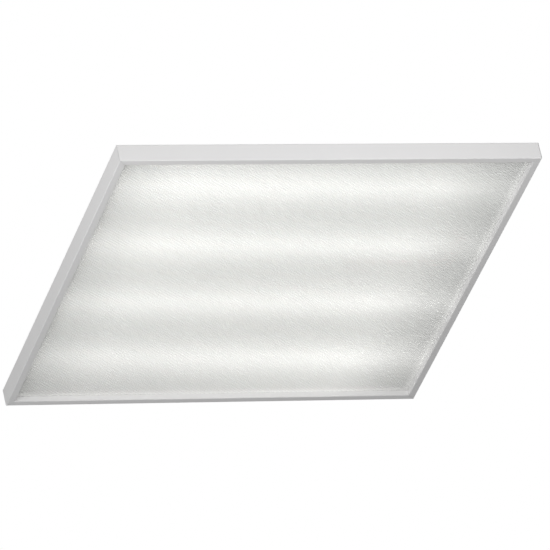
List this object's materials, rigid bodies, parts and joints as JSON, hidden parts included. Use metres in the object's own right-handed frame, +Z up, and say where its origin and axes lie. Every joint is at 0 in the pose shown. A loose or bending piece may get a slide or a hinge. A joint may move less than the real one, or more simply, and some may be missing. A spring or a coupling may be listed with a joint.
{
  "type": "recessed troffer light",
  "caption": "Square lay-in LED ceiling light with a mitred frame, a prismatic diffuser over rows of LED boards, and a driver on its back plate with hinged terminal covers.",
  "frame": {"origin": "centre of the underside of the frame, the face that lies on the ceiling grid", "axes": "+Z up into the ceiling void, X along the rows of LEDs, Y across them; the lit face looks down"},
  "size_m": [0.595, 0.595, 0.0526],
  "materials": {
    "frame_paint": "white powder coat, satin",
    "plate_paint": "white coil-coated sheet, satin",
    "zinc": "zinc-plated steel",
    "diffuser_plastic": "clear prismatic polystyrene, lit from behind",
    "reflector_film": "matt white film",
    "board_mask": "white solder mask on aluminium",
    "led_package": "white package with a pale yellow phosphor window",
    "connector_plastic": "white nylon",
    "rivet_metal": "bare aluminium",
    "white_wire": "white PVC insulation",
    "red_wire": "red PVC insulation",
    "black_wire": "black PVC insulation",
    "earth_wire": "green and yellow PVC insulation",
    "driver_plastic": "white moulded polycarbonate, fine grain",
    "gland_rubber": "soft black rubber",
    "circuit_board": "green solder mask on glass epoxy",
    "ferrite": "dark grey sintered ferrite",
    "winding": "yellow tape over copper",
    "capacitor_sleeve": "shrunk sleeve on an aluminium can",
    "choke_copper": "enamelled copper",
    "film_case": "potted box",
    "heatsink_metal": "extruded aluminium",
    "terminal_plastic": "grey polyamide",
    "button_live": "brown polyamide",
    "button_neutral": "blue polyamide",
    "button_earth": "green polyamide",
    "button_output": "orange polyamide",
    "spring_steel": "stainless spring steel",
    "nut_brass": "plain brass",
    "label_metal": "blank brushed plate"
  },
  "bodies": {
    "housing": {"frame_rail_right": "frame_paint", "frame_rail_foot": "frame_paint", "frame_rail_left": "frame_paint", "frame_rail_head": "frame_paint", "corner_keys": "zinc", "corner_grub_screws": "zinc", "diffuser": "diffuser_plastic", "back_plate": "plate_paint", "plate_screws": "zinc", "reflector_sheet": "reflector_film", "board_connectors": "connector_plastic", "board_rivets": "rivet_metal", "link_wire_left_a": "white_wire", "link_wire_left_b": "white_wire", "link_wire_right": "white_wire", "supply_wire_positive": "red_wire", "supply_wire_negative": "black_wire", "wire_clips": "connector_plastic", "plate_grommet": "gland_rubber", "input_gland": "gland_rubber", "output_gland": "gland_rubber", "driver_base": "driver_plastic", "driver_lid": "driver_plastic", "driver_screws": "zinc", "hinge_pins": "spring_steel", "driver_board": "circuit_board", "transformer_core": "ferrite", "transformer_winding": "winding", "bulk_capacitor": "capacitor_sleeve", "output_capacitors": "capacitor_sleeve", "choke": "choke_copper", "film_capacitor": "film_case", "heatsink": "heatsink_metal", "input_terminal": "terminal_plastic", "output_terminal": "terminal_plastic", "terminal_cages": "spring_steel", "earth_stud": "zinc", "earth_nut": "nut_brass", "earth_tag": "zinc", "earth_lead": "earth_wire", "suspension_nuts": "zinc", "rating_plate": "label_metal", "led_board_1": "board_mask", "led_row_1": "led_package", "led_board_2": "board_mask", "led_row_2": "led_package", "led_board_3": "board_mask", "led_row_3": "led_package", "led_board_4": "board_mask", "led_row_4": "led_package"},
    "input_cover": {"input_cover": "driver_plastic"},
    "output_cover": {"output_cover": "driver_plastic"},
    "release_button_live": {"release_button_live": "button_live"},
    "release_button_neutral": {"release_button_neutral": "button_neutral"},
    "release_button_earth": {"release_button_earth": "button_earth"},
    "release_button_positive": {"release_button_positive": "button_output"},
    "release_button_negative": {"release_button_negative": "button_output"}
  },
  "joints": [
    {"name": "input_cover_hinge", "type": "hinge", "parent": "housing", "child": "input_cover", "pos_m": [-0.053, 0, 0.0506], "axis": [0, 1, 0], "range_deg": [0, 100]},
    {"name": "output_cover_hinge", "type": "hinge", "parent": "housing", "child": "output_cover", "pos_m": [0.053, 0, 0.0506], "axis": [0, -1, 0], "range_deg": [0, 100]},
    {"name": "press_live", "type": "slide", "parent": "housing", "child": "release_button_live", "axis": [0, 0, -1], "range_m": [0, 0.0014], "stiffness_N_per_m": 400, "springref_m": -0.002},
    {"name": "press_neutral", "type": "slide", "parent": "housing", "child": "release_button_neutral", "axis": [0, 0, -1], "range_m": [0, 0.0014], "stiffness_N_per_m": 400, "springref_m": -0.002},
    {"name": "press_earth", "type": "slide", "parent": "housing", "child": "release_button_earth", "axis": [0, 0, -1], "range_m": [0, 0.0014], "stiffness_N_per_m": 400, "springref_m": -0.002},
    {"name": "press_positive", "type": "slide", "parent": "housing", "child": "release_button_positive", "axis": [0, 0, -1], "range_m": [0, 0.0014], "stiffness_N_per_m": 400, "springref_m": -0.002},
    {"name": "press_negative", "type": "slide", "parent": "housing", "child": "release_button_negative", "axis": [0, 0, -1], "range_m": [0, 0.0014], "stiffness_N_per_m": 400, "springref_m": -0.002}
  ]
}
